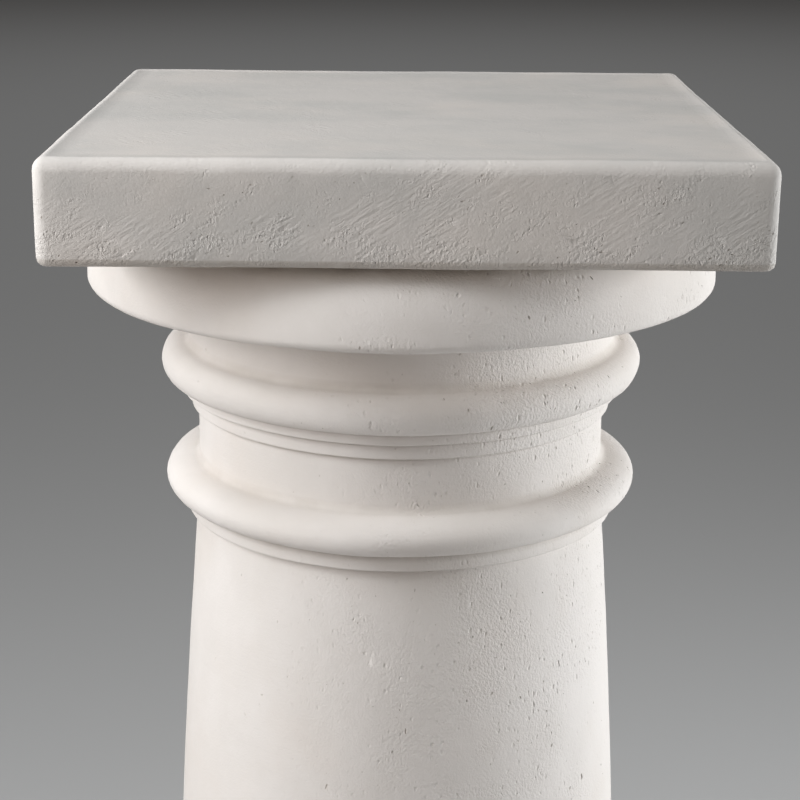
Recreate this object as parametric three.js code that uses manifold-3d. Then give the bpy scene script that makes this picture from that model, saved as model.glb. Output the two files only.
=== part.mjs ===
// A cast column: square abacus, turned capital, tapering shaft, moulded base and square plinth, all one piece.
// Millimetres, +Z up. The origin is the centre of the underside.
import * as THREE from "three";
import { RoundedBoxGeometry } from "three/addons/geometries/RoundedBoxGeometry.js";
import { mergeVertices } from "three/addons/utils/BufferGeometryUtils.js";
import Module from "manifold-3d";

const overallHeight = 914;

// Square slabs at the two ends
const abacusSide = 330;
const abacusHeight = 49;
const abacusEdgeRadius = 5;
const plinthSide = 356;
const plinthHeight = 50;
const plinthEdgeRadius = 5;

// Echinus, the cushion under the abacus: narrow where it leaves the slab, widest just above its lower edge
const echinusHeight = 44.5;
const echinusRoundHeight = 33;
const echinusSetback = 0.5;
const echinusHeadRadius = 144;
const echinusEdgeRadius = 4.5;

// Upper neck, between the echinus and the collar
const upperNeckRadius = 114;
const upperNeckHeight = 27;
const neckCoveRadius = 4;

// Collar, a half round with two flat annulets stepping in below it
const collarHeight = 19.5;
const collarProjection = 14;
const collarUndercut = 3;
const upperAnnuletHeight = 6.5;
const upperAnnuletProjection = 8;
const lowerAnnuletHeight = 8.5;
const lowerAnnuletProjection = 3.5;

// Lower neck, astragal and its fillet at the head of the shaft
const neckRadius = 109;
const neckHeight = 29.5;
const astragalHeight = 19;
const astragalProjection = 18;
const filletHeight = 9;
const filletProjection = 5.5;
const astragalUndercut = 1;

// Shaft, which swells downwards along a parabola and is upright at its foot
const shaftTopRadius = 110.5;
const shaftFootRadius = 135;

// Base: a half round on the plinth, a fillet, and a concave flare into the shaft
const baseTorusHeight = 40;
const baseTorusSetback = 4;
const baseFilletHeight = 10;
const baseFlareRadius = 12;

// Fineness of the faceting
const turnSegments = 64;
const quarterSteps = 5;
const coveSteps = 2;
const shaftSteps = 8;
const edgeSteps = 2;

// Heights where one moulding ends and the next begins
const baseTorusTop = plinthHeight + baseTorusHeight;
const shaftFoot = baseTorusTop + baseFilletHeight;
const abacusFoot = overallHeight - abacusHeight;
const echinusFoot = abacusFoot - echinusHeight;
const collarTop = echinusFoot - upperNeckHeight;
const collarFoot = collarTop - collarHeight;
const upperAnnuletFoot = collarFoot - upperAnnuletHeight;
const lowerAnnuletFoot = upperAnnuletFoot - lowerAnnuletHeight;
const astragalTop = lowerAnnuletFoot - neckHeight;
const astragalFoot = astragalTop - astragalHeight;
const shaftTop = astragalFoot - filletHeight;

// Radii that follow from their neighbours
const echinusRadius = abacusSide / 2 - echinusSetback;
const collarRadius = upperNeckRadius + collarProjection;
const upperAnnuletRadius = neckRadius + upperAnnuletProjection;
const lowerAnnuletRadius = neckRadius + lowerAnnuletProjection;
const astragalRadius = neckRadius + astragalProjection;
const filletRadius = shaftTopRadius + filletProjection;
const baseFilletRadius = shaftFootRadius + baseFlareRadius;
const baseTorusRadius = plinthSide / 2 - baseTorusSetback;

// Points along an elliptical arc of the outline. Angles are in degrees: 0 points outwards and 90 up.
function arc(centreRadius, centreHeight, reachOut, reachUp, fromAngle, toAngle, steps) {
  const points = [];
  for (let step = 0; step <= steps; step += 1) {
    const angle = THREE.MathUtils.degToRad(fromAngle + ((toAngle - fromAngle) * step) / steps);
    const radius = centreRadius + reachOut * Math.cos(angle);
    points.push(new THREE.Vector2(radius, centreHeight + reachUp * Math.sin(angle)));
  }
  return points;
}

// A bulging moulding, from its foot up to its head, which may sit on different radii.
function halfRound(footRadius, widestRadius, headRadius, foot, head) {
  const middle = (foot + head) / 2;
  const halfHeight = (head - foot) / 2;
  const lower = arc(footRadius, middle, widestRadius - footRadius, halfHeight, -90, 0, quarterSteps);
  const upper = arc(headRadius, middle, widestRadius - headRadius, halfHeight, 0, 90, quarterSteps);
  return [...lower, ...upper.slice(1)];
}

// The hollow curve where an upright neck springs from the moulding below it.
function cove(radius, foot) {
  return arc(radius + neckCoveRadius, foot + neckCoveRadius, neckCoveRadius, neckCoveRadius, 270, 180, coveSteps);
}

// A flat upright band.
function band(radius, foot, head) {
  return [new THREE.Vector2(radius, foot), new THREE.Vector2(radius, head)];
}

// The base above the plinth. The flare stands on the fillet and ends on the shaft's own line.
function baseOutline() {
  const torus = halfRound(baseFilletRadius, baseTorusRadius, baseFilletRadius, plinthHeight, baseTorusTop);
  const fillet = band(baseFilletRadius, baseTorusTop, shaftFoot);
  const flare = arc(baseFilletRadius, shaftFoot + baseFlareRadius, baseFlareRadius, baseFlareRadius, 270, 180, quarterSteps);
  return [...torus, fillet[1], ...flare.slice(1)];
}

// The swelling of the shaft, above the flare.
function shaftOutline() {
  const foot = shaftFoot + baseFlareRadius;
  const points = [];
  for (let step = 1; step <= shaftSteps; step += 1) {
    const rise = step / shaftSteps;
    const radius = shaftFootRadius - (shaftFootRadius - shaftTopRadius) * rise ** 2;
    points.push(new THREE.Vector2(radius, foot + (shaftTop - foot) * rise));
  }
  return points;
}

// Fillet, astragal and lower neck.
function neckOutline() {
  const fillet = band(filletRadius, shaftTop, astragalFoot);
  const astragal = halfRound(
    filletRadius + astragalUndercut,
    astragalRadius,
    neckRadius + neckCoveRadius,
    astragalFoot,
    astragalTop,
  );
  return [...fillet, ...astragal, ...cove(neckRadius, astragalTop).slice(1)];
}

// Annulets, collar and upper neck.
function collarOutline() {
  const steps = [
    new THREE.Vector2(neckRadius, lowerAnnuletFoot),
    ...band(lowerAnnuletRadius, lowerAnnuletFoot, upperAnnuletFoot),
    ...band(upperAnnuletRadius, upperAnnuletFoot, collarFoot),
  ];
  const collar = halfRound(
    upperAnnuletRadius + collarUndercut,
    collarRadius,
    upperNeckRadius + neckCoveRadius,
    collarFoot,
    collarTop,
  );
  return [...steps, ...collar, ...cove(upperNeckRadius, collarTop).slice(1)];
}

// Echinus: underside, tight lower edge, and the long round up to the slab.
function echinusOutline() {
  const widest = abacusFoot - echinusRoundHeight;
  const edge = arc(echinusRadius - echinusEdgeRadius, widest, echinusEdgeRadius, echinusEdgeRadius, -90, 0, quarterSteps);
  const round = arc(
    echinusHeadRadius,
    widest,
    echinusRadius - echinusHeadRadius,
    echinusRoundHeight,
    0,
    90,
    quarterSteps + coveSteps,
  );
  return [new THREE.Vector2(upperNeckRadius, echinusFoot), ...edge, ...round.slice(1)];
}

// The whole outline, closed on the axis inside the plinth and inside the abacus.
function columnOutline() {
  const insidePlinth = plinthHeight / 2;
  const insideAbacus = overallHeight - abacusHeight / 2;
  return [
    new THREE.Vector2(0, insidePlinth),
    new THREE.Vector2(baseFilletRadius, insidePlinth),
    ...baseOutline(),
    ...shaftOutline(),
    ...neckOutline(),
    ...collarOutline(),
    ...echinusOutline(),
    new THREE.Vector2(echinusHeadRadius, insideAbacus),
    new THREE.Vector2(0, insideAbacus),
  ];
}

// A square slab with its edges rounded over.
function slabGeometry(side, height, edgeRadius, foot) {
  const slab = new RoundedBoxGeometry(side, side, height, edgeSteps, edgeRadius);
  return slab.translate(0, 0, foot + height / 2);
}

const wasm = await Module();
wasm.setup();

function toSolid(geometry) {
  geometry.deleteAttribute("normal");
  geometry.deleteAttribute("uv");
  const merged = mergeVertices(geometry);
  const vertProperties = new Float32Array(merged.attributes.position.array);
  const triVerts = new Uint32Array(merged.index.array);
  return new wasm.Manifold(new wasm.Mesh({ numProp: 3, vertProperties, triVerts }));
}

function toGeometry(solid) {
  const mesh = solid.getMesh();
  const geometry = new THREE.BufferGeometry();
  geometry.setAttribute("position", new THREE.BufferAttribute(mesh.vertProperties, mesh.numProp));
  geometry.setIndex(new THREE.BufferAttribute(mesh.triVerts, 1));
  geometry.computeVertexNormals();
  return geometry;
}

const turned = toSolid(new THREE.LatheGeometry(columnOutline(), turnSegments).rotateX(Math.PI / 2));
const abacus = toSolid(slabGeometry(abacusSide, abacusHeight, abacusEdgeRadius, abacusFoot));
const plinth = toSolid(slabGeometry(plinthSide, plinthHeight, plinthEdgeRadius, 0));

const plaster = new THREE.MeshStandardMaterial({ color: 0xd9d2c8, roughness: 0.85, metalness: 0 });
const column = new THREE.Mesh(toGeometry(turned.add(abacus).add(plinth)), plaster);
column.name = "column";

const part = new THREE.Group();
part.add(column);

export default part;
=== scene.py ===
"""A cast plaster column: its fine surface, materials, light and camera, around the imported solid.

Lengths are in metres, +Z up, with the origin at the centre of the underside.
"""

import math

import bmesh
import bpy
from mathutils import Matrix, Vector


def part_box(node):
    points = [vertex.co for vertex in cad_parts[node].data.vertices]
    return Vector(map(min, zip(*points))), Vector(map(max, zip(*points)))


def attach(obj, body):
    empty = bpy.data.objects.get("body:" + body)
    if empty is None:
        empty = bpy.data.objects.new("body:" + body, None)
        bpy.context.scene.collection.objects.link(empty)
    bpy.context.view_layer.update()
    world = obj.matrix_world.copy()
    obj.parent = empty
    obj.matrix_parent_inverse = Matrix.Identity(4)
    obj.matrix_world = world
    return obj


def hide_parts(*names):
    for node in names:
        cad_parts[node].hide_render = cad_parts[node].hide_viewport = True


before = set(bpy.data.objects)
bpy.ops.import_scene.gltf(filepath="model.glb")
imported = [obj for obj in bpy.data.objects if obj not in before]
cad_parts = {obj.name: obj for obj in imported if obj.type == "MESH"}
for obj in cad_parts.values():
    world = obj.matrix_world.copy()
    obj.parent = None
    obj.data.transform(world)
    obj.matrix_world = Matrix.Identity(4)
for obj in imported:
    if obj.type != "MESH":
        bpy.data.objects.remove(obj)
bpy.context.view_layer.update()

MM = 0.001

# Overall sizes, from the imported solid
LOW, HIGH = (Vector(corner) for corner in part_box("column"))
OVERALL_HEIGHT = HIGH.z
PLINTH_SIDE = HIGH.x - LOW.x

# Square slabs
ABACUS_SIDE = 330 * MM
ABACUS_HEIGHT = 49 * MM
ABACUS_TOP_ROUND = 6 * MM
ABACUS_FOOT_ROUND = 3.8 * MM
PLINTH_HEIGHT = 50 * MM
PLINTH_TOP_ROUND = 5 * MM
PLINTH_FOOT_ROUND = 3 * MM
ROUND_STEPS = 5
FOOT_ROUND_STEPS = 3

# Echinus
ECHINUS_HEIGHT = 44.5 * MM
ECHINUS_ROUND_HEIGHT = 33 * MM
ECHINUS_SETBACK = 0.5 * MM
ECHINUS_HEAD_RADIUS = 144 * MM
ECHINUS_EDGE_RADIUS = 4.5 * MM
ECHINUS_SAG = 1.6 * MM
ECHINUS_SPREAD = 0.8 * MM

# Necks, collar, annulets and astragal
UPPER_NECK_RADIUS = 114 * MM
UPPER_NECK_HEIGHT = 27 * MM
NECK_COVE_RADIUS = 4 * MM
COLLAR_HEIGHT = 19.5 * MM
COLLAR_PROJECTION = 14 * MM
COLLAR_UNDERCUT = 3 * MM
UPPER_ANNULET_HEIGHT = 6.5 * MM
UPPER_ANNULET_PROJECTION = 8 * MM
LOWER_ANNULET_HEIGHT = 8.5 * MM
LOWER_ANNULET_PROJECTION = 3.5 * MM
NECK_RADIUS = 109 * MM
NECK_HEIGHT = 29.5 * MM
ASTRAGAL_HEIGHT = 19 * MM
ASTRAGAL_PROJECTION = 18 * MM
ASTRAGAL_UNDERCUT = 1 * MM
FILLET_HEIGHT = 9 * MM
FILLET_PROJECTION = 5.5 * MM

# Shaft and base
SHAFT_TOP_RADIUS = 110.5 * MM
SHAFT_FOOT_RADIUS = 135 * MM
BASE_TORUS_HEIGHT = 40 * MM
BASE_TORUS_SETBACK = 4 * MM
BASE_FILLET_HEIGHT = 10 * MM
BASE_FLARE_RADIUS = 12 * MM

# Fineness of the mesh
TURN_SEGMENTS = 176
QUARTER_STEPS = 9
COVE_STEPS = 4
SHAFT_STEPS = 45
CORNER_SOFTNESS = 0.9 * MM
CORNER_STEPS = 3
CORNER_TURN = math.radians(25)
LONGEST_STEP = 4 * MM
SHAFT_STEP = 14 * MM
STEP_SLACK = 0.01
SLAB_CELL = 9 * MM

# Wear of the slabs, with painted shade that fades the worn band towards the right
RIM_WIDTH = 0.8 * MM
RIM_RISE = 0.35 * MM
WORN_BAND = 6.5 * MM
WORN_BAND_WOBBLE = 5.5 * MM
# Share of the worn band kept at the right: this fade is painted shade
WORN_BAND_SHARE_IN_RIGHT_SHADE = 0.4

# Painted shade: a dark tone painted in the creases, under the abacus, just above the plinth, in the pits and
# along the abacus's foot. A turn is in radians, and a strength of 1 hides the plaster's own colour
CREASE_SHADE_REACH = 1.3 * MM
CREASE_SHADE_FULL_TURN = 1.3
TIGHT_TURN = 0.18
UNDER_ABACUS_SHADE = 9 * MM
PLINTH_LEDGE_SHADE = 5 * MM
OUTLINE_SHADE_STRENGTH = 0.9
PIT_SHADE_STRENGTH = 0.3
SLAB_FOOT_SHADE = 4.4 * MM
SLAB_FOOT_SHADE_FADE = 1 * MM
SLAB_FOOT_SHADE_STRENGTH = 0.42

# Finest relief, in the finishes alone
GRAIN_DEPTH = 0.12 * MM
LUMP_DEPTH = 0.22 * MM
SLAB_ROUGH_DEPTH = 0.85 * MM
TURNED_ROUGH_DEPTH = 0.55 * MM
FAINT_SCRATCH_DEPTH = 0.06 * MM
SCRATCH_DEPTH = 0.45 * MM
BRUSH_DEPTH = 0.1 * MM
BUBBLE_DEPTH = 0.55 * MM

# Light: where the lamps aim, how far off they are and how wide
LAMP_AIM = OVERALL_HEIGHT - 0.15
LAMP_DISTANCE = 1.7
LAMP_SIZE = 0.8
WASH_SIZE = 8.0
WASH_PLACE = (0, 6.0, 4.5)
COOL = (0.97, 0.99, 1.0)
WARM = (1.0, 0.86, 0.77)

# Heights where one moulding ends and the next begins
BASE_TORUS_TOP = PLINTH_HEIGHT + BASE_TORUS_HEIGHT
SHAFT_FOOT = BASE_TORUS_TOP + BASE_FILLET_HEIGHT
ABACUS_FOOT = OVERALL_HEIGHT - ABACUS_HEIGHT
ECHINUS_FOOT = ABACUS_FOOT - ECHINUS_HEIGHT - ECHINUS_SAG
COLLAR_TOP = ABACUS_FOOT - ECHINUS_HEIGHT - UPPER_NECK_HEIGHT
COLLAR_FOOT = COLLAR_TOP - COLLAR_HEIGHT
UPPER_ANNULET_FOOT = COLLAR_FOOT - UPPER_ANNULET_HEIGHT
LOWER_ANNULET_FOOT = UPPER_ANNULET_FOOT - LOWER_ANNULET_HEIGHT
ASTRAGAL_TOP = LOWER_ANNULET_FOOT - NECK_HEIGHT
ASTRAGAL_FOOT = ASTRAGAL_TOP - ASTRAGAL_HEIGHT
SHAFT_TOP = ASTRAGAL_FOOT - FILLET_HEIGHT


# Outline of the turned part, as (radius, height) pairs

def arc(centre_radius, centre_height, reach_out, reach_up, start, end, steps):
    """Points on an elliptical arc. Angles in degrees: 0 is outwards and 90 is up."""
    points = []
    for step in range(steps + 1):
        angle = math.radians(start + (end - start) * step / steps)
        radius = centre_radius + reach_out * math.cos(angle)
        points.append((radius, centre_height + reach_up * math.sin(angle)))
    return points


def half_round(foot_radius, widest_radius, head_radius, foot, head):
    """A bulging moulding from its foot up to its head."""
    middle = (foot + head) / 2
    half = (head - foot) / 2
    lower = arc(foot_radius, middle, widest_radius - foot_radius, half, -90, 0, QUARTER_STEPS)
    upper = arc(head_radius, middle, widest_radius - head_radius, half, 0, 90, QUARTER_STEPS)
    return lower + upper[1:]


def cove(radius, foot):
    """The hollow curve where a neck springs from the moulding below it."""
    centre = (radius + NECK_COVE_RADIUS, foot + NECK_COVE_RADIUS)
    return arc(*centre, NECK_COVE_RADIUS, NECK_COVE_RADIUS, 270, 180, COVE_STEPS)


def band(radius, foot, head):
    """A flat upright band."""
    return [(radius, foot), (radius, head)]


def base_outline():
    """Half round, fillet and the flare into the shaft."""
    fillet_radius = SHAFT_FOOT_RADIUS + BASE_FLARE_RADIUS
    torus_radius = PLINTH_SIDE / 2 - BASE_TORUS_SETBACK
    torus = half_round(fillet_radius, torus_radius, fillet_radius, PLINTH_HEIGHT, BASE_TORUS_TOP)
    flare_centre = (fillet_radius, SHAFT_FOOT + BASE_FLARE_RADIUS)
    flare = arc(*flare_centre, BASE_FLARE_RADIUS, BASE_FLARE_RADIUS, 270, 180, QUARTER_STEPS)
    return torus + flare


def shaft_outline():
    """The shaft's swelling, a parabola that is upright at its foot."""
    foot = SHAFT_FOOT + BASE_FLARE_RADIUS
    points = []
    for step in range(1, SHAFT_STEPS + 1):
        rise = step / SHAFT_STEPS
        radius = SHAFT_FOOT_RADIUS - (SHAFT_FOOT_RADIUS - SHAFT_TOP_RADIUS) * rise ** 2
        points.append((radius, foot + (SHAFT_TOP - foot) * rise))
    return points


def neck_outline():
    """Fillet, astragal and lower neck."""
    fillet_radius = SHAFT_TOP_RADIUS + FILLET_PROJECTION
    astragal = half_round(
        fillet_radius + ASTRAGAL_UNDERCUT,
        NECK_RADIUS + ASTRAGAL_PROJECTION,
        NECK_RADIUS + NECK_COVE_RADIUS,
        ASTRAGAL_FOOT,
        ASTRAGAL_TOP,
    )
    return band(fillet_radius, SHAFT_TOP, ASTRAGAL_FOOT) + astragal + cove(NECK_RADIUS, ASTRAGAL_TOP)[1:]


def collar_outline():
    """Annulets, collar and upper neck."""
    upper_annulet_radius = NECK_RADIUS + UPPER_ANNULET_PROJECTION
    annulets = [(NECK_RADIUS, LOWER_ANNULET_FOOT)]
    annulets += band(NECK_RADIUS + LOWER_ANNULET_PROJECTION, LOWER_ANNULET_FOOT, UPPER_ANNULET_FOOT)
    annulets += band(upper_annulet_radius, UPPER_ANNULET_FOOT, COLLAR_FOOT)
    collar = half_round(
        upper_annulet_radius + COLLAR_UNDERCUT,
        UPPER_NECK_RADIUS + COLLAR_PROJECTION,
        UPPER_NECK_RADIUS + NECK_COVE_RADIUS,
        COLLAR_FOOT,
        COLLAR_TOP,
    )
    return annulets + collar + cove(UPPER_NECK_RADIUS, COLLAR_TOP)[1:]


def echinus_outline():
    """Underside, tight lower edge and the long round up to the slab."""
    widest = ABACUS_FOOT - ECHINUS_ROUND_HEIGHT - ECHINUS_SAG
    radius = ABACUS_SIDE / 2 - ECHINUS_SETBACK + ECHINUS_SPREAD
    edge_centre = (radius - ECHINUS_EDGE_RADIUS, widest)
    edge = arc(*edge_centre, ECHINUS_EDGE_RADIUS, ECHINUS_EDGE_RADIUS, -90, 0, QUARTER_STEPS)
    reach_out = radius - ECHINUS_HEAD_RADIUS
    reach_up = ABACUS_FOOT - widest
    long_round = arc(ECHINUS_HEAD_RADIUS, widest, reach_out, reach_up, 0, 90, QUARTER_STEPS + COVE_STEPS)
    return [(UPPER_NECK_RADIUS, ECHINUS_FOOT)] + edge + long_round[1:]


def soften(points):
    """Rounds every sharp corner, as plaster edges are."""
    softened = [points[0]]
    for before, corner, after in zip(points, points[1:], points[2:]):
        corner = Vector(corner)
        back = Vector(before) - corner
        ahead = Vector(after) - corner
        if math.pi - back.angle(ahead) < CORNER_TURN:
            softened.append(tuple(corner))
            continue
        start = corner + back.normalized() * min(CORNER_SOFTNESS, back.length / 2)
        end = corner + ahead.normalized() * min(CORNER_SOFTNESS, ahead.length / 2)
        for step in range(CORNER_STEPS + 1):
            part = step / CORNER_STEPS
            softened.append(tuple(start.lerp(corner, part).lerp(corner.lerp(end, part), part)))
    return softened + [points[-1]]


def crease_turns(places):
    """How far the outline turns inwards at each point, in radians. Ridges and level stretches count as 0."""
    turns = [0.0]
    for before, corner, after in zip(places, places[1:], places[2:]):
        turns.append(max(0.0, (corner - before).angle_signed(after - corner, 0.0)))
    return turns + [0.0]


def spread(points):
    """Divides long stretches: least on the shaft, more on the mouldings, and close beside each crease."""
    tight = [turn > TIGHT_TURN for turn in crease_turns([Vector(point) for point in points])]
    spread_out = [points[0]]
    for start, end, start_tight, end_tight in zip(points, points[1:], tight, tight[1:]):
        start, end = Vector(start), Vector(end)
        inside = max(start.y, end.y) > ABACUS_FOOT or min(start.y, end.y) < PLINTH_HEIGHT
        longest = ABACUS_SIDE if inside else SHAFT_STEP if end.y < SHAFT_TOP else LONGEST_STEP
        length = (end - start).length
        count = max(1, math.ceil(length / longest - STEP_SLACK))
        steps = [step / count for step in range(1, count + 1)]
        if length > 3 * CREASE_SHADE_REACH and not inside:
            steps += [CREASE_SHADE_REACH / length] * start_tight + [1 - CREASE_SHADE_REACH / length] * end_tight
        spread_out += [tuple(start.lerp(end, step)) for step in sorted(steps)]
    return spread_out


def column_outline():
    """The whole outline, closed on the axis inside the plinth and inside the abacus."""
    inside_plinth = PLINTH_HEIGHT / 2
    inside_abacus = OVERALL_HEIGHT - ABACUS_HEIGHT / 2
    turned = base_outline() + shaft_outline() + neck_outline() + collar_outline() + echinus_outline()
    start = [(0, inside_plinth), (SHAFT_FOOT_RADIUS + BASE_FLARE_RADIUS, inside_plinth)]
    end = [(ECHINUS_HEAD_RADIUS, inside_abacus), (0, inside_abacus)]
    return spread(start + soften(turned) + end)


def painted_shade_in(outline):
    """How much painted shade each point of the outline takes: most in tight creases, close under the abacus
    and just above the plinth.
    """
    places = [Vector(point) for point in outline]
    turns = crease_turns(places)
    painted_darkness = []
    for place in places:
        crease = sum(
            turn * max(0.0, 1 - (place - other).length / CREASE_SHADE_REACH) for turn, other in zip(turns, places)
        )
        under = max(0.0, 1 - (ABACUS_FOOT - place.y) / UNDER_ABACUS_SHADE)
        ledge = max(0.0, 1 - (place.y - PLINTH_HEIGHT) / PLINTH_LEDGE_SHADE)
        painted_darkness.append(min(1.0, max(crease / CREASE_SHADE_FULL_TURN, under, ledge)))
    return painted_darkness


# Blanks that the node tree takes

def link(name, mesh):
    """Puts a mesh in the scene as an object at the origin."""
    thing = bpy.data.objects.new(name, mesh)
    bpy.context.scene.collection.objects.link(thing)
    return thing


def outline_blank():
    """The outline as a chain of edges in the XZ plane, with the painted shade at each point."""
    outline = column_outline()
    points = [(radius, 0, height) for radius, height in outline]
    mesh = bpy.data.meshes.new("turning_outline")
    mesh.from_pydata(points, [(index, index + 1) for index in range(len(points) - 1)], [])
    mesh.attributes.new("grime", "FLOAT", "POINT").data.foreach_set("value", painted_shade_in(outline))
    return link("turning_outline", mesh)


def settled(shape):
    """Points and faces in one fixed order, because the pits' places follow the order of the faces."""
    shape.verts.index_update()
    faces = []
    for face in shape.faces:
        ring = [vertex.index for vertex in face.verts]
        first = ring.index(min(ring))
        faces.append(ring[first:] + ring[:first])
    return [tuple(vertex.co) for vertex in shape.verts], sorted(faces)


def slab_blank(name, side, height, foot, top_round, foot_round):
    """A square slab with rounded edges, a low rim round its top and a grid of small faces."""
    shape = bmesh.new()
    middle = foot + height / 2
    place = Matrix.Translation((0, 0, middle)) @ Matrix.Diagonal((side, side, height, 1))
    bmesh.ops.create_cube(shape, size=1, matrix=place)
    rounding = {"affect": "EDGES", "profile": 0.5, "clamp_overlap": True}
    upper = [edge for edge in shape.edges if max(vertex.co.z for vertex in edge.verts) > middle]
    bmesh.ops.bevel(shape, geom=upper, offset=top_round, segments=ROUND_STEPS, **rounding)
    lower = [
        edge for edge in shape.edges
        if all(vertex.co.z < foot + MM / 10 for vertex in edge.verts) and len(edge.link_faces) == 2
        and any(abs(face.normal.z) < 0.5 for face in edge.link_faces)
    ]
    bmesh.ops.bevel(shape, geom=lower, offset=foot_round, segments=FOOT_ROUND_STEPS, **rounding)
    top = [face for face in shape.faces if face.normal.z > 0.99]
    bmesh.ops.inset_region(shape, faces=top, thickness=RIM_WIDTH, depth=-RIM_RISE)
    for axis, length in ((0, side), (1, side), (2, height)):
        long_edges = [
            edge for edge in shape.edges
            if abs((edge.verts[0].co - edge.verts[1].co)[axis]) > length / 2
        ]
        bmesh.ops.subdivide_edges(shape, edges=long_edges, cuts=round(length / SLAB_CELL), use_grid_fill=True)
    places, faces = settled(shape)
    shape.free()
    mesh = bpy.data.meshes.new(name)
    mesh.from_pydata(places, [], faces)
    return link(name, mesh)


# Node helpers

def fill(tree, made, inputs):
    """Links or sets a node's inputs by name or number."""
    for key, value in inputs.items():
        if isinstance(value, bpy.types.NodeSocket):
            tree.links.new(value, made.inputs[key])
        else:
            made.inputs[key].default_value = value


def node(tree, kind, inputs=None, **settings):
    """Adds a node, sets its properties and fills its inputs."""
    made = tree.nodes.new(kind)
    for name, value in settings.items():
        setattr(made, name, value)
    fill(tree, made, inputs or {})
    return made


def math_node(tree, operation, first, second=0.0, third=0.0):
    """The result of one sum on plain values."""
    inputs = {0: first, 1: second, 2: third}
    return node(tree, "ShaderNodeMath", inputs, operation=operation).outputs[0]


def vector_math(tree, operation, first, second):
    """The result of one sum on vectors. To scale, the second is a plain value."""
    inputs = {0: first, "Scale" if operation == "SCALE" else 1: second}
    return node(tree, "ShaderNodeVectorMath", inputs, operation=operation).outputs[0]


def ramp(tree, value, low, high, to_low=0.0, to_high=1.0, kind="SMOOTHSTEP"):
    """Maps a value from one range to another, held at both ends."""
    inputs = {"Value": value, "From Min": low, "From Max": high, "To Min": to_low, "To Max": to_high}
    return node(tree, "ShaderNodeMapRange", inputs, interpolation_type=kind).outputs["Result"]


def noise(tree, place, scale, detail=2.0, roughness=0.5):
    """Smooth noise, with the scale in waves per metre where the place is in metres."""
    inputs = {"Vector": place, "Scale": scale, "Detail": detail, "Roughness": roughness}
    return node(tree, "ShaderNodeTexNoise", inputs)


def new_tree(name, kind, inputs, outputs):
    """A node group with named sockets. Each is (name, socket kind, value) or (name, socket kind)."""
    tree = bpy.data.node_groups.new(name, kind)
    for direction, sockets in (("INPUT", inputs), ("OUTPUT", outputs)):
        for name, socket_kind, *value in sockets:
            socket = tree.interface.new_socket(name, in_out=direction, socket_type=socket_kind)
            if value:
                socket.default_value = value[0]
    return tree, node(tree, "NodeGroupInput").outputs, node(tree, "NodeGroupOutput")


def stroke_place(tree, place, angle, along, across):
    """Coordinates for slanting strokes on the slab's four faces: stretched along the stroke."""
    xyz = node(tree, "ShaderNodeSeparateXYZ", {0: place}).outputs
    level = math_node(tree, "ADD", xyz[0], xyz[1])
    run = math_node(tree, "MULTIPLY", level, math.cos(angle))
    run = math_node(tree, "MULTIPLY_ADD", xyz[2], math.sin(angle), run)
    rise = math_node(tree, "MULTIPLY", level, -math.sin(angle))
    rise = math_node(tree, "MULTIPLY_ADD", xyz[2], math.cos(angle), rise)
    side = math_node(tree, "SUBTRACT", xyz[0], xyz[1])
    inputs = {
        0: math_node(tree, "MULTIPLY", run, along),
        1: math_node(tree, "MULTIPLY", rise, across),
        2: math_node(tree, "MULTIPLY", side, along),
    }
    return node(tree, "ShaderNodeCombineXYZ", inputs).outputs[0]


# Geometry of the casting

STROKE_ANGLE = math.radians(32)
UPRIGHT = (0.0, 0.0, 1.0)
SLANTING = (math.cos(STROKE_ANGLE), math.cos(STROKE_ANGLE), math.sin(STROKE_ANGLE))
MID_NOISE = (0.5, 0.5, 0.5)
FLAT_FOOT = 1 * MM
SWAYING_FROM = 10 * MM
AXIS_RING = 0.1 * MM
MERGE_REACH = 0.01 * MM
SHARP_ANGLE = math.radians(46)

CASTING_INPUTS = (
    ("Outline", "NodeSocketGeometry"),
    ("Abacus", "NodeSocketObject"),
    ("Plinth", "NodeSocketObject"),
    ("Turn Segments", "NodeSocketInt", TURN_SEGMENTS),
    ("Turned Part Off Centre", "NodeSocketFloat", -1.4 * MM),
    ("Sway Reach", "NodeSocketFloat", 1.3 * MM),
    ("Sway Waves Per Metre", "NodeSocketFloat", 9.0),
    ("Ripple Reach", "NodeSocketFloat", 0.7 * MM),
    ("Ripple Waves Per Metre", "NodeSocketFloat", 45.0),
    ("Pit Radius", "NodeSocketFloat", 0.6 * MM),
    ("Pit Roughness", "NodeSocketFloat", 0.45 * MM),
    ("Turned Pits Per Square Metre", "NodeSocketFloat", 7000.0),
    ("Turned Holes Per Square Metre", "NodeSocketFloat", 200.0),
    ("Slab Pits Per Square Metre", "NodeSocketFloat", 46000.0),
    ("Seed", "NodeSocketInt", 11),
    ("Turned Plaster", "NodeSocketMaterial"),
    ("Slab Plaster", "NodeSocketMaterial"),
)


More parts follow.
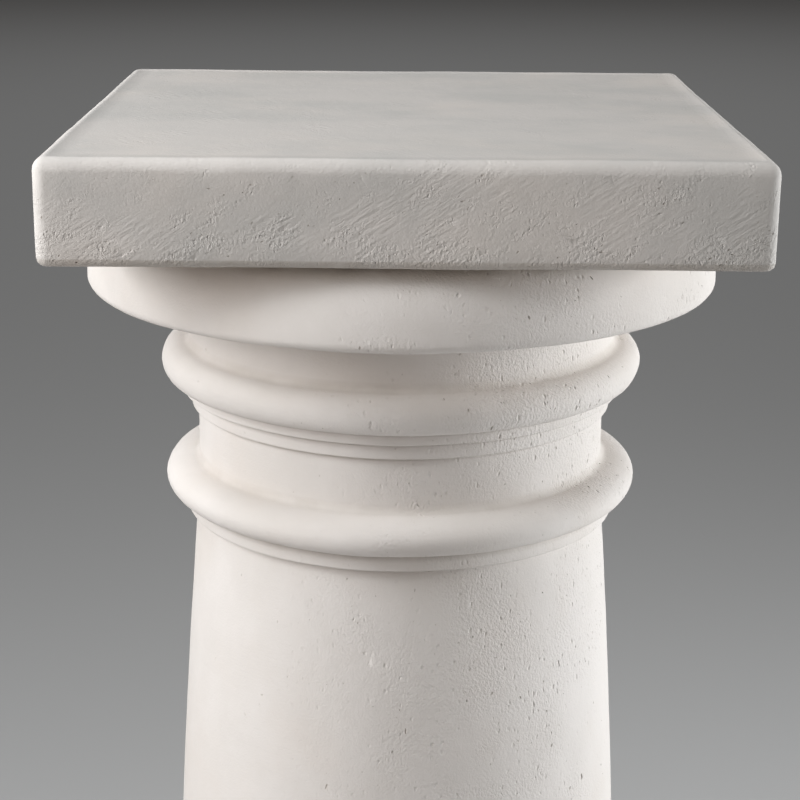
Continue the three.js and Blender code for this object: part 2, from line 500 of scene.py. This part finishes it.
def turn_outline(tree, source):
    """Sweeps the outline round the axis and closes it at both poles."""
    chain = node(tree, "GeometryNodeMeshToCurve", {"Mesh": source["Outline"]}).outputs[0]
    laid = node(
        tree,
        "GeometryNodeTransform",
        {"Geometry": chain, "Rotation": (math.pi / 2, 0, 0), "Translation": (-AXIS_RING, 0, 0)},
    ).outputs[0]
    ring = node(
        tree,
        "GeometryNodeCurvePrimitiveCircle",
        {"Resolution": source["Turn Segments"], "Radius": AXIS_RING},
        mode="RADIUS",
    ).outputs[0]
    upright = node(tree, "GeometryNodeSetCurveNormal", {"Curve": ring}, mode="Z_UP").outputs[0]
    swept = node(tree, "GeometryNodeCurveToMesh", {"Curve": upright, "Profile Curve": laid}).outputs[0]
    inputs = {"Geometry": swept, "Distance": MERGE_REACH}
    closed = node(tree, "GeometryNodeMergeByDistance", inputs).outputs[0]
    outwards = node(tree, "GeometryNodeFlipFaces", {"Mesh": closed}).outputs[0]
    aside = node(tree, "ShaderNodeCombineXYZ", {0: source["Turned Part Off Centre"]}).outputs[0]
    moved = node(tree, "GeometryNodeTransform", {"Geometry": outwards, "Translation": aside}).outputs[0]
    return finished(tree, moved, source["Turned Plaster"])


def finished(tree, shape, material):
    """The shape with its finish."""
    return node(tree, "GeometryNodeSetMaterial", {"Geometry": shape, "Material": material}).outputs[0]


def slab(tree, source, name):
    """One of the two slabs, from its blank."""
    shape = node(tree, "GeometryNodeObjectInfo", {"Object": source[name]}).outputs["Geometry"]
    return finished(tree, shape, source["Slab Plaster"])


def join(tree, pieces):
    """The pieces as one closed shell."""
    joined = node(tree, "GeometryNodeMeshBoolean", operation="UNION", solver="MANIFOLD")
    for piece in pieces:
        tree.links.new(piece, joined.inputs["Mesh 2"])
    return joined.outputs["Mesh"]


def sway(tree, source, shape):
    """Bends the casting slightly out of true, as moulded plaster is. Its underside stays flat."""
    place = node(tree, "GeometryNodeInputPosition").outputs[0]
    wide = noise(tree, place, source["Sway Waves Per Metre"], 1.0).outputs["Color"]
    wide = vector_math(tree, "SUBTRACT", wide, MID_NOISE)
    wide = vector_math(tree, "SCALE", wide, source["Sway Reach"])
    fine = noise(tree, place, source["Ripple Waves Per Metre"], 2.0).outputs[0]
    fine = math_node(tree, "MULTIPLY", math_node(tree, "SUBTRACT", fine, 0.5), source["Ripple Reach"])
    normal = node(tree, "GeometryNodeInputNormal").outputs[0]
    offset = vector_math(tree, "ADD", wide, vector_math(tree, "SCALE", normal, fine))
    height = node(tree, "ShaderNodeSeparateXYZ", {0: place}).outputs[2]
    offset = vector_math(tree, "SCALE", offset, ramp(tree, height, FLAT_FOOT, SWAYING_FROM))
    return node(tree, "GeometryNodeSetPosition", {"Geometry": shape, "Offset": offset}).outputs[0]


def pit_points(tree, source, shape, density_name, gap, mask, seed_step):
    """Points for air-bubble pits, where the mask allows them."""
    inputs = {
        "Mesh": shape,
        "Distance Min": gap,
        "Density Max": source[density_name],
        "Density Factor": mask,
        "Seed": math_node(tree, "ADD", source["Seed"], seed_step),
    }
    return node(tree, "GeometryNodeDistributePointsOnFaces", inputs, distribute_method="POISSON").outputs


def turned_patches(tree, place):
    """Rough patches on the turned part, few of them on its left."""
    across = node(tree, "ShaderNodeSeparateXYZ", {0: place}).outputs[0]
    patches = ramp(tree, noise(tree, place, 15.0, 4.0, 0.6).outputs[0], 0.4, 0.6, 0.12, 1.0)
    side = ramp(tree, across, -75 * MM, 15 * MM, 0.06, 1.0)
    return math_node(tree, "MULTIPLY", patches, side)


def slab_bands(tree, place):
    """Slanting rough bands on the slabs' sides, more of them low down and on the right."""
    across, _, height = node(tree, "ShaderNodeSeparateXYZ", {0: place}).outputs
    bands = noise(tree, stroke_place(tree, place, STROKE_ANGLE, 30.0, 95.0), 1.0, 5.0, 0.68).outputs[0]
    low_down = ramp(tree, height, ABACUS_FOOT, OVERALL_HEIGHT, 0.13, -0.06, "LINEAR")
    to_right = ramp(tree, across, -ABACUS_SIDE / 2, ABACUS_SIDE / 2, -0.03, 0.04, "LINEAR")
    bands = math_node(tree, "ADD", bands, math_node(tree, "ADD", low_down, to_right))
    return ramp(tree, bands, 0.5, 0.72, 0.06, 1.0)


def turned_mask(tree):
    """Where the turned part has pits."""
    place = node(tree, "GeometryNodeInputPosition").outputs[0]
    height = node(tree, "ShaderNodeSeparateXYZ", {0: place}).outputs[2]
    below_slab = math_node(tree, "LESS_THAN", height, ABACUS_FOOT - MM)
    above_slab = math_node(tree, "GREATER_THAN", height, PLINTH_HEIGHT + MM)
    turned = math_node(tree, "MULTIPLY", below_slab, above_slab)
    return math_node(tree, "MULTIPLY", turned_patches(tree, place), turned)


def slab_mask(tree):
    """Where the slabs have pits: nearly all on their sides, and clear of the floor."""
    place = node(tree, "GeometryNodeInputPosition").outputs[0]
    height = node(tree, "ShaderNodeSeparateXYZ", {0: place}).outputs[2]
    normal = node(tree, "GeometryNodeInputNormal").outputs[0]
    flatness = math_node(tree, "ABSOLUTE", node(tree, "ShaderNodeSeparateXYZ", {0: normal}).outputs[2])
    sides = ramp(tree, flatness, 0.3, 0.8, 1.0, 0.01)
    above = math_node(tree, "GREATER_THAN", height, ABACUS_FOOT + 0.5 * MM)
    plinth = math_node(tree, "LESS_THAN", height, PLINTH_HEIGHT)
    plinth = math_node(tree, "MULTIPLY", plinth, ramp(tree, height, 8 * MM, 12 * MM, 0.0, 0.2))
    factor = math_node(tree, "MULTIPLY", slab_bands(tree, place), sides)
    return math_node(tree, "MULTIPLY", factor, math_node(tree, "ADD", above, plinth))


def pits(tree, source, points, size, fineness, along, material, seed_step):
    """A rough ball at each point: longer one way, sized at random and sunk a little way in."""
    ball = node(tree, "GeometryNodeMeshIcoSphere", {"Radius": 1.0, "Subdivisions": fineness}).outputs[0]
    seed = math_node(tree, "ADD", source["Seed"], seed_step)

    def chance(low, high, step):
        """A random value for each point."""
        inputs = {2: low, 3: high, "Seed": math_node(tree, "ADD", seed, step)}
        return node(tree, "FunctionNodeRandomValue", inputs, data_type="FLOAT").outputs[1]

    draw = math_node(tree, "POWER", chance(0.0, 1.0, 1), 3.0)
    radius = math_node(tree, "MULTIPLY_ADD", draw, 0.9, 0.6)
    radius = math_node(tree, "MULTIPLY", math_node(tree, "MULTIPLY", radius, size), source["Pit Radius"])
    length, width, depth = chance(0.9, 2.1, 2), chance(0.6, 1.0, 3), chance(0.6, 1.0, 4)
    stretch = node(tree, "ShaderNodeCombineXYZ", {0: length, 1: width, 2: depth}).outputs[0]
    scale = vector_math(tree, "SCALE", stretch, radius)
    align = "FunctionNodeAlignRotationToVector"
    facing = node(tree, align, {"Vector": points["Normal"]}, axis="Z").outputs[0]
    facing = node(tree, align, {"Rotation": facing, "Vector": along}, axis="X", pivot_axis="Z").outputs[0]
    spin = node(tree, "FunctionNodeAxisAngleToRotation", {"Axis": UPRIGHT, "Angle": chance(-0.6, 0.6, 5)})
    turned = node(
        tree,
        "FunctionNodeRotateRotation",
        {"Rotation": facing, "Rotate By": spin.outputs[0]},
        rotation_space="LOCAL",
    ).outputs[0]
    lift = math_node(tree, "MULTIPLY", radius, chance(-0.1, 0.3, 6))
    raised = node(
        tree,
        "GeometryNodeSetPosition",
        {"Geometry": points["Points"], "Offset": vector_math(tree, "SCALE", points["Normal"], lift)},
    ).outputs[0]
    placed = node(
        tree,
        "GeometryNodeInstanceOnPoints",
        {"Points": raised, "Instance": ball, "Rotation": turned, "Scale": scale},
    ).outputs[0]
    real = node(tree, "GeometryNodeRealizeInstances", {"Geometry": placed}).outputs[0]
    place = node(tree, "GeometryNodeInputPosition").outputs[0]
    rough = vector_math(tree, "SUBTRACT", noise(tree, place, 700.0, 1.0).outputs["Color"], MID_NOISE)
    rough = vector_math(tree, "SCALE", rough, math_node(tree, "MULTIPLY", source["Pit Roughness"], size))
    real = node(tree, "GeometryNodeSetPosition", {"Geometry": real, "Offset": rough}).outputs[0]
    marked = node(
        tree,
        "GeometryNodeStoreNamedAttribute",
        {"Geometry": real, "Name": "pit", "Value": 1.0},
        data_type="FLOAT",
        domain="FACE",
    ).outputs[0]
    return finished(tree, marked, source[material])


def cut(tree, shape, cutter):
    """Cuts the pits out. Each pit first takes over the painted shade of the surface that it is cut into."""
    painted_darkness = node(tree, "GeometryNodeInputNamedAttribute", {"Name": "grime"}, data_type="FLOAT").outputs[0]
    place = node(tree, "GeometryNodeInputPosition").outputs[0]
    nearest = node(
        tree,
        "GeometryNodeSampleNearestSurface",
        {"Mesh": shape, "Value": painted_darkness, "Sample Position": place},
        data_type="FLOAT",
    ).outputs[0]
    cutter = node(
        tree,
        "GeometryNodeStoreNamedAttribute",
        {"Geometry": cutter, "Name": "grime", "Value": nearest},
        data_type="FLOAT",
        domain="POINT",
    ).outputs[0]
    inputs = {"Mesh 1": shape, "Mesh 2": cutter}
    made = node(tree, "GeometryNodeMeshBoolean", inputs, operation="DIFFERENCE", solver="MANIFOLD")
    return made.outputs["Mesh"]


def casting_tree():
    """Turned part and slabs in one, out of true, and pitted."""
    outputs = (("Casting", "NodeSocketGeometry"),)
    tree, source, result = new_tree("plaster casting", "GeometryNodeTree", CASTING_INPUTS, outputs)
    slabs = [slab(tree, source, name) for name in ("Abacus", "Plinth")]
    shape = sway(tree, source, join(tree, [turn_outline(tree, source)] + slabs))
    whole = shape
    on_turned, on_slabs = turned_mask(tree), slab_mask(tree)
    kinds = (
        ("Turned Pits Per Square Metre", on_turned, 2.4 * MM, 0.9, 1, UPRIGHT, "Turned Plaster"),
        ("Turned Holes Per Square Metre", on_turned, 9 * MM, 1.7, 2, UPRIGHT, "Turned Plaster"),
        ("Slab Pits Per Square Metre", on_slabs, 1.7 * MM, 0.68, 1, SLANTING, "Slab Plaster"),
    )
    for number, (density, mask, gap, size, fineness, along, material) in enumerate(kinds):
        points = pit_points(tree, source, whole, density, gap, mask, number)
        balls = pits(tree, source, points, size, fineness, along, material, 10 * (number + 1))
        shape = cut(tree, shape, balls)
    angle = node(tree, "GeometryNodeInputMeshEdgeAngle").outputs["Unsigned Angle"]
    smooth_edges = math_node(tree, "LESS_THAN", angle, SHARP_ANGLE)
    for domain, smooth in (("FACE", True), ("EDGE", smooth_edges)):
        inputs = {"Geometry": shape, "Shade Smooth": smooth}
        shape = node(tree, "GeometryNodeSetShadeSmooth", inputs, domain=domain).outputs[0]
    real = node(tree, "GeometryNodeRealizeInstances", {"Geometry": shape}).outputs[0]
    tree.links.new(real, result.inputs[0])
    return tree


def make_plain(blank, name, tree, values):
    """Runs a node tree on a blank and keeps the result as a plain mesh."""
    modifier = blank.modifiers.new("nodes", "NODES")
    modifier.node_group = tree
    for item in tree.interface.items_tree:
        if item.item_type == "SOCKET" and item.in_out == "INPUT" and item.name in values:
            modifier[item.identifier] = values[item.name]
    depsgraph = bpy.context.evaluated_depsgraph_get()
    mesh = bpy.data.meshes.new_from_object(blank.evaluated_get(depsgraph), depsgraph=depsgraph)
    blank.modifiers.remove(modifier)
    mesh.name = name
    return link(name, mesh)


def drop(*things):
    """Removes blanks, with their meshes."""
    for thing in things:
        bpy.data.meshes.remove(thing.data)


# Finishes

def pitting_group():
    """Small air-bubble pits inside a patch mask. Puts out a height and a mask."""
    inputs = (
        ("Place", "NodeSocketVector"),
        ("Patch Mask", "NodeSocketFloat", 1.0),
        ("Pits Per Metre", "NodeSocketFloat", 400.0),
        ("Pit Size", "NodeSocketFloat", 0.3),
    )
    outputs = (("Height", "NodeSocketFloat"), ("Mask", "NodeSocketFloat"))
    tree, source, result = new_tree("bubble pits", "ShaderNodeTree", inputs, outputs)
    warp = noise(tree, source["Place"], 600.0, 2.0).outputs["Color"]
    warp = vector_math(tree, "SCALE", vector_math(tree, "SUBTRACT", warp, MID_NOISE), 1.8 * MM)
    warped = vector_math(tree, "ADD", source["Place"], warp)
    cells = node(
        tree,
        "ShaderNodeTexVoronoi",
        {"Vector": warped, "Scale": source["Pits Per Metre"], "Randomness": 1.0},
        feature="F1",
    )
    chance = node(tree, "ShaderNodeSeparateColor", {0: cells.outputs["Color"]}).outputs[0]
    reach = math_node(tree, "MULTIPLY", source["Pit Size"], ramp(tree, chance, 0.4, 1.0, 0.0, 1.6, "LINEAR"))
    depth = math_node(tree, "SUBTRACT", reach, cells.outputs["Distance"])
    mask = math_node(tree, "MULTIPLY", ramp(tree, depth, 0.0, 0.38), source["Patch Mask"])
    tree.links.new(mask, result.inputs["Mask"])
    tree.links.new(math_node(tree, "MULTIPLY", mask, -1.0), result.inputs["Height"])
    return tree


def tone_group():
    """Cloudy colour of old plaster: two tones, a warm blush, a worn tone and a painted shade, each by its own
    mask.
    """
    inputs = (
        ("Place", "NodeSocketVector"),
        ("Cloud Place", "NodeSocketVector"),
        ("Light Tone", "NodeSocketColor", (0.80, 0.78, 0.74, 1.0)),
        ("Dark Tone", "NodeSocketColor", (0.70, 0.68, 0.64, 1.0)),
        ("Blush", "NodeSocketColor", (0.76, 0.70, 0.65, 1.0)),
        # A dark brown painted in as shade
        ("Grime", "NodeSocketColor", (0.36, 0.31, 0.25, 1.0)),
        ("Grime Mask", "NodeSocketFloat", 0.0),
        ("Worn Mask", "NodeSocketFloat", 0.0),
        ("Worn Tone", "NodeSocketColor", (0.83, 0.80, 0.765, 1.0)),
    )
    outputs = (("Color", "NodeSocketColor"), ("Roughness", "NodeSocketFloat"))
    tree, source, result = new_tree("cloudy plaster tone", "ShaderNodeTree", inputs, outputs)
    cloud = ramp(tree, noise(tree, source["Cloud Place"], 1.0, 5.0, 0.6).outputs[0], 0.35, 0.68)
    blush = ramp(tree, noise(tree, source["Place"], 11.0, 3.0, 0.6).outputs[0], 0.45, 0.75, 0.0, 0.5)
    uneven = ramp(tree, noise(tree, source["Place"], 60.0, 3.0, 0.6).outputs[0], 0.3, 0.7, 0.55, 1.0)
    grime = math_node(tree, "MULTIPLY", source["Grime Mask"], uneven)

    def blend(factor, first, second):
        """The first colour, covered by the second where the factor is high."""
        inputs = {0: factor, 6: first, 7: second}
        return node(tree, "ShaderNodeMix", inputs, data_type="RGBA", blend_type="MIX").outputs[2]

    color = blend(cloud, source["Light Tone"], source["Dark Tone"])
    color = blend(blush, color, source["Blush"])
    color = blend(source["Worn Mask"], color, source["Worn Tone"])
    color = blend(grime, color, source["Grime"])
    rough = ramp(tree, cloud, 0.0, 1.0, 0.78, 0.9, "LINEAR")
    tree.links.new(color, result.inputs["Color"])
    tree.links.new(rough, result.inputs["Roughness"])
    return tree


def worn_band_shaded_to_right(tree, place, side, head):
    """Masks a band along a slab's top and upright edges, where its skin has worn off. It is weaker to the
    right, which is painted shade on that side.
    """
    inputs = {0: node(tree, "ShaderNodeVectorMath", {0: place}, operation="ABSOLUTE").outputs[0]}
    across, along, _ = node(tree, "ShaderNodeSeparateXYZ", inputs).outputs
    left_or_right, _, height = node(tree, "ShaderNodeSeparateXYZ", {0: place}).outputs
    from_x = math_node(tree, "SUBTRACT", side / 2, across)
    from_y = math_node(tree, "SUBTRACT", side / 2, along)
    from_top = math_node(tree, "ABSOLUTE", math_node(tree, "SUBTRACT", head, height))
    nearer = math_node(tree, "MINIMUM", from_x, from_y)
    farther = math_node(tree, "MAXIMUM", from_x, from_y)
    second = math_node(tree, "MAXIMUM", nearer, math_node(tree, "MINIMUM", farther, from_top))
    wobble = math_node(tree, "SUBTRACT", noise(tree, place, 35.0, 6.0, 0.7).outputs[0], 0.5)
    second = math_node(tree, "MULTIPLY_ADD", wobble, WORN_BAND_WOBBLE, second)
    fade = ramp(tree, noise(tree, place, 22.0, 3.0, 0.6).outputs[0], 0.3, 0.7, 0.45, 0.95)
    # Painted shade: the worn band fades towards the right
    to_right = ramp(tree, left_or_right, -side / 2, side / 2, 1.0, WORN_BAND_SHARE_IN_RIGHT_SHADE, "LINEAR")
    fade = math_node(tree, "MULTIPLY", fade, to_right)
    return math_node(tree, "MULTIPLY", ramp(tree, second, WORN_BAND * 0.65, WORN_BAND * 1.1, 1.0, 0.0), fade)


def slab_foot_shade(tree, place):
    """Painted shade along the lower edge of the abacus."""
    height = node(tree, "ShaderNodeSeparateXYZ", {0: place}).outputs[2]
    clean_from = ABACUS_FOOT + SLAB_FOOT_SHADE
    fading_from = clean_from - SLAB_FOOT_SHADE_FADE
    foot = ramp(tree, height, fading_from, clean_from, SLAB_FOOT_SHADE_STRENGTH, 0.0)
    return math_node(tree, "MULTIPLY", foot, math_node(tree, "GREATER_THAN", height, PLINTH_HEIGHT))


def plaster(name, pitting, tone, pit_values, tone_values, cloud_scale, on_slab):
    """A matte plaster, rough in patches, with painted shade in its creases and pits. On the slabs it also has
    scratches, worn edges that fade into painted shade to the right, and painted shade along the abacus's
    foot.
    """
    material = bpy.data.materials.new(name)
    material.use_nodes = True
    tree = material.node_tree
    place = node(tree, "ShaderNodeTexCoord").outputs["Object"]
    patch = slab_bands(tree, place) if on_slab else turned_patches(tree, place)
    stretched = vector_math(tree, "MULTIPLY", place, (1.0, 1.0, 0.62))
    inputs = {"Place": stretched, "Patch Mask": patch, **pit_values}
    holes = node(tree, "ShaderNodeGroup", node_tree=pitting)
    fill(tree, holes, inputs)
    # Painted shade: dark in the bump pits and cut pits, and from the stored shade of creases, the abacus's
    # underside and the plinth's ledge
    grime = math_node(tree, "MULTIPLY", holes.outputs["Mask"], PIT_SHADE_STRENGTH)
    for stored, strength in (("grime", OUTLINE_SHADE_STRENGTH), ("pit", PIT_SHADE_STRENGTH)):
        value = node(tree, "ShaderNodeAttribute", attribute_name=stored).outputs["Fac"]
        grime = math_node(tree, "MAXIMUM", grime, math_node(tree, "MULTIPLY", value, strength))
    tones = node(tree, "ShaderNodeGroup", node_tree=tone)
    if on_slab:
        # Painted shade along the abacus's foot
        grime = math_node(tree, "MAXIMUM", grime, slab_foot_shade(tree, place))
        abacus_worn_shaded = worn_band_shaded_to_right(tree, place, ABACUS_SIDE, OVERALL_HEIGHT)
        plinth_worn_shaded = worn_band_shaded_to_right(tree, place, PLINTH_SIDE, PLINTH_HEIGHT)
        fill(tree, tones, {"Worn Mask": math_node(tree, "MAXIMUM", abacus_worn_shaded, plinth_worn_shaded)})
    cloud_place = vector_math(tree, "MULTIPLY", place, cloud_scale)
    fill(tree, tones, {"Place": place, "Cloud Place": cloud_place, "Grime Mask": grime, **tone_values})
    surface = {
        "Base Color": tones.outputs["Color"],
        "Roughness": tones.outputs["Roughness"],
        "Specular IOR Level": 0.35,
        "Normal": plaster_relief(tree, place, patch, holes.outputs["Height"], on_slab),
    }
    fill(tree, tree.nodes["Principled BSDF"], surface)
    return material


def plaster_relief(tree, place, patch, pit_height, on_slab):
    """Grain and lumps everywhere, coarse grain in the rough patches, strokes or brush lines, and bubbles."""
    grain = noise(tree, place, 950.0, 3.0, 0.6).outputs[0]
    lumps = noise(tree, place, 120.0, 3.0, 0.6).outputs[0]
    coarse_place = vector_math(tree, "MULTIPLY", place, (1.0, 1.0, 0.8))
    coarse = math_node(tree, "SUBTRACT", noise(tree, coarse_place, 780.0, 2.0, 0.6).outputs[0], 0.5)
    coarse = math_node(tree, "MULTIPLY", coarse, patch)
    coarse_depth = SLAB_ROUGH_DEPTH if on_slab else TURNED_ROUGH_DEPTH
    height = math_node(tree, "MULTIPLY", lumps, LUMP_DEPTH)
    height = math_node(tree, "MULTIPLY_ADD", grain, GRAIN_DEPTH, height)
    height = math_node(tree, "MULTIPLY_ADD", coarse, coarse_depth, height)
    if on_slab:
        stroked = stroke_place(tree, place, STROKE_ANGLE, 95.0, 620.0)
        scratches = math_node(tree, "SUBTRACT", noise(tree, stroked, 1.0, 2.0, 0.5).outputs[0], 0.5)
        shown = noise(tree, place, 38.0, 3.0).outputs[0]
        depth = ramp(tree, shown, 0.48, 0.66, FAINT_SCRATCH_DEPTH, SCRATCH_DEPTH)
        height = math_node(tree, "MULTIPLY_ADD", scratches, depth, height)
    else:
        level = vector_math(tree, "MULTIPLY", place, (6.0, 6.0, 260.0))
        brushed = noise(tree, level, 1.0, 3.0, 0.6).outputs[0]
        height = math_node(tree, "MULTIPLY_ADD", brushed, BRUSH_DEPTH, height)
    height = math_node(tree, "MULTIPLY_ADD", pit_height, BUBBLE_DEPTH, height)
    return node(tree, "ShaderNodeBump", {"Height": height, "Strength": 1.0, "Distance": 1.0}).outputs[0]


def plain_material(name, color, roughness):
    """One even matte colour."""
    material = bpy.data.materials.new(name)
    material.use_nodes = True
    shader = material.node_tree.nodes["Principled BSDF"]
    shader.inputs["Base Color"].default_value = (*color, 1)
    shader.inputs["Roughness"].default_value = roughness
    return material


# The column

pitting = pitting_group()
tone = tone_group()
turned_plaster = plaster(
    "turned_plaster", pitting, tone,
    {"Pits Per Metre": 380.0},
    {"Light Tone": (0.83, 0.79, 0.76, 1.0), "Dark Tone": (0.765, 0.725, 0.69, 1.0)},
    cloud_scale=(9.0, 9.0, 7.0), on_slab=False,
)
slab_plaster = plaster(
    "slab_plaster", pitting, tone,
    {"Pits Per Metre": 620.0},
    {
        "Light Tone": (0.68, 0.645, 0.615, 1.0),
        "Dark Tone": (0.60, 0.58, 0.555, 1.0),
        "Worn Tone": (0.80, 0.765, 0.735, 1.0),
    },
    cloud_scale=(13.0, 16.0, 16.0), on_slab=True,
)
outline = outline_blank()
abacus_rounds = (ABACUS_TOP_ROUND, ABACUS_FOOT_ROUND)
plinth_rounds = (PLINTH_TOP_ROUND, PLINTH_FOOT_ROUND)
abacus = slab_blank("abacus_blank", ABACUS_SIDE, ABACUS_HEIGHT, ABACUS_FOOT, *abacus_rounds)
plinth = slab_blank("plinth_blank", PLINTH_SIDE, PLINTH_HEIGHT, 0, *plinth_rounds)
casting = make_plain(
    outline, "column_casting", casting_tree(),
    {"Abacus": abacus, "Plinth": plinth, "Turned Plaster": turned_plaster, "Slab Plaster": slab_plaster},
)
drop(outline, abacus, plinth)
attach(casting, "root")
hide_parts("column")


# Floor, light and camera

def make_floor():
    """A wide pale floor."""
    reach = 20.0
    mesh = bpy.data.meshes.new("floor")
    corners = [(-reach, -reach, 0), (reach, -reach, 0), (reach, reach, 0), (-reach, reach, 0)]
    mesh.from_pydata(corners, [], [(0, 1, 2, 3)])
    floor = link("floor", mesh)
    mesh.materials.append(plain_material("pale_floor", (0.55, 0.55, 0.55), 0.9))


def softbox(name, azimuth, elevation, power, tint, size=LAMP_SIZE):
    """A square lamp that faces the capital. Azimuth 0 is at the front and 90 is on the right."""
    azimuth, elevation = math.radians(azimuth), math.radians(elevation)
    level = math.cos(elevation)
    outwards = Vector((math.sin(azimuth) * level, -math.cos(azimuth) * level, math.sin(elevation)))
    data = bpy.data.lights.new(name, "AREA")
    data.shape = "SQUARE"
    data.size = size
    data.energy = power
    data.color = tint
    lamp = bpy.data.objects.new(name, data)
    bpy.context.scene.collection.objects.link(lamp)
    lamp.location = Vector((0, 0, LAMP_AIM)) + outwards * LAMP_DISTANCE
    lamp.rotation_euler = outwards.to_track_quat("Z", "Y").to_euler()
    lamp.visible_camera = False
    return lamp


def make_light():
    """Strong light from both sides, a little from above and the front, and a wash over the floor."""
    world = bpy.data.worlds.new("studio")
    bpy.context.scene.world = world
    world.use_nodes = True
    backdrop = world.node_tree.nodes["Background"]
    backdrop.inputs["Color"].default_value = (1.0, 0.9, 0.82, 1)
    backdrop.inputs["Strength"].default_value = 0.045
    softbox("left_softbox", -69, 24, 20.5, COOL)
    softbox("high_left_softbox", -50, 50, 9, COOL)
    softbox("right_softbox", 90, 5, 28.5, COOL)
    softbox("top_softbox", -90, 68, 3.6, COOL)
    softbox("front_fill", -45, 12, 4, WARM)
    wash = softbox("floor_wash", 0, 90, 90, COOL, WASH_SIZE)
    wash.location = WASH_PLACE


def make_camera():
    """The photograph's viewpoint, worked out from the straight edges of the abacus."""
    frame_width = 36.0
    photo_width_px = 800
    focal_px = 1891.7
    pitch = math.radians(16.672)
    roll = math.radians(0.479)
    turn = math.radians(0.160)
    distance = 2.987 * ABACUS_SIDE
    sideways = -0.0051 * ABACUS_SIDE
    above_top = 0.4149 * ABACUS_SIDE
    data = bpy.data.cameras.new("camera")
    data.sensor_width = frame_width
    data.lens = focal_px * frame_width / photo_width_px
    camera = bpy.data.objects.new("camera", data)
    bpy.context.scene.collection.objects.link(camera)
    place = Matrix.Rotation(-turn, 4, "Z") @ Vector((sideways, -distance, OVERALL_HEIGHT + above_top))
    tilt = Matrix.Rotation(math.pi / 2 - pitch, 4, "X") @ Matrix.Rotation(roll, 4, "Z")
    camera.matrix_world = Matrix.Translation(place) @ Matrix.Rotation(-turn, 4, "Z") @ tilt
    bpy.context.scene.camera = camera


make_floor()
make_light()
make_camera()
bpy.context.scene.view_settings.view_transform = "Standard"
